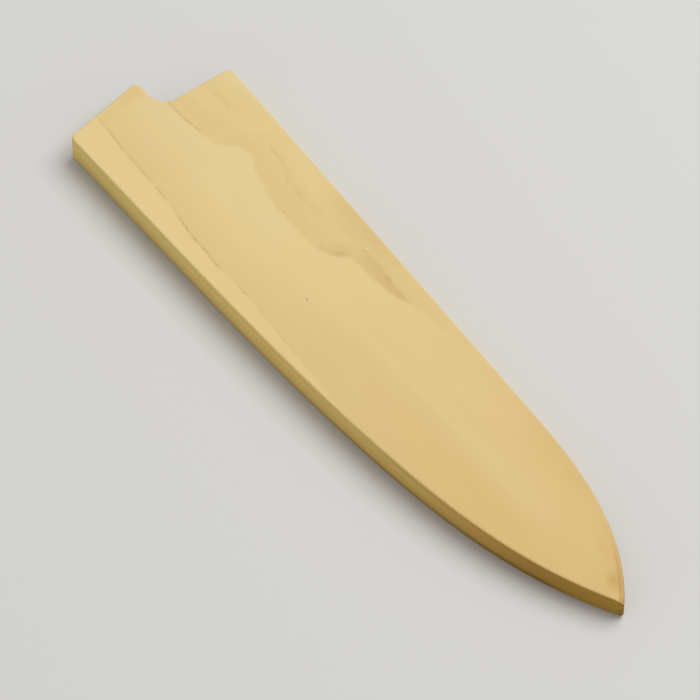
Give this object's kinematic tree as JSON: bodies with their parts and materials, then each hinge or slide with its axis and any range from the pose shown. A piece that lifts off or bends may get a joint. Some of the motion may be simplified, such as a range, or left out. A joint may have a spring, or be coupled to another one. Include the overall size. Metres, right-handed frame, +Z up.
{
  "type": "knife blade guard",
  "caption": "Slip-on wooden blade guard for a chef's knife: two glued boards round a thin pocket, with a notched mouth, a pointed tip and hidden disc magnets.",
  "frame": {"origin": "the middle of the footprint, on the bottom face that the guard lies on", "axes": "+X along the guard from the mouth to the tip, +Y from the spine side to the cutting-edge side, +Z up through the two boards"},
  "size_m": [0.2344, 0.054, 0.0106],
  "materials": {
    "upper_board": "bare, fine sanded",
    "lower_board": "bare, fine sanded",
    "magnet": "nickel plated"
  },
  "bodies": {
    "root": {"upper_half": "upper_board", "lower_half": "lower_board", "upper_magnet_1": "magnet", "upper_magnet_2": "magnet", "upper_magnet_3": "magnet", "lower_magnet_1": "magnet", "lower_magnet_2": "magnet", "lower_magnet_3": "magnet"}
  },
  "joints": []
}
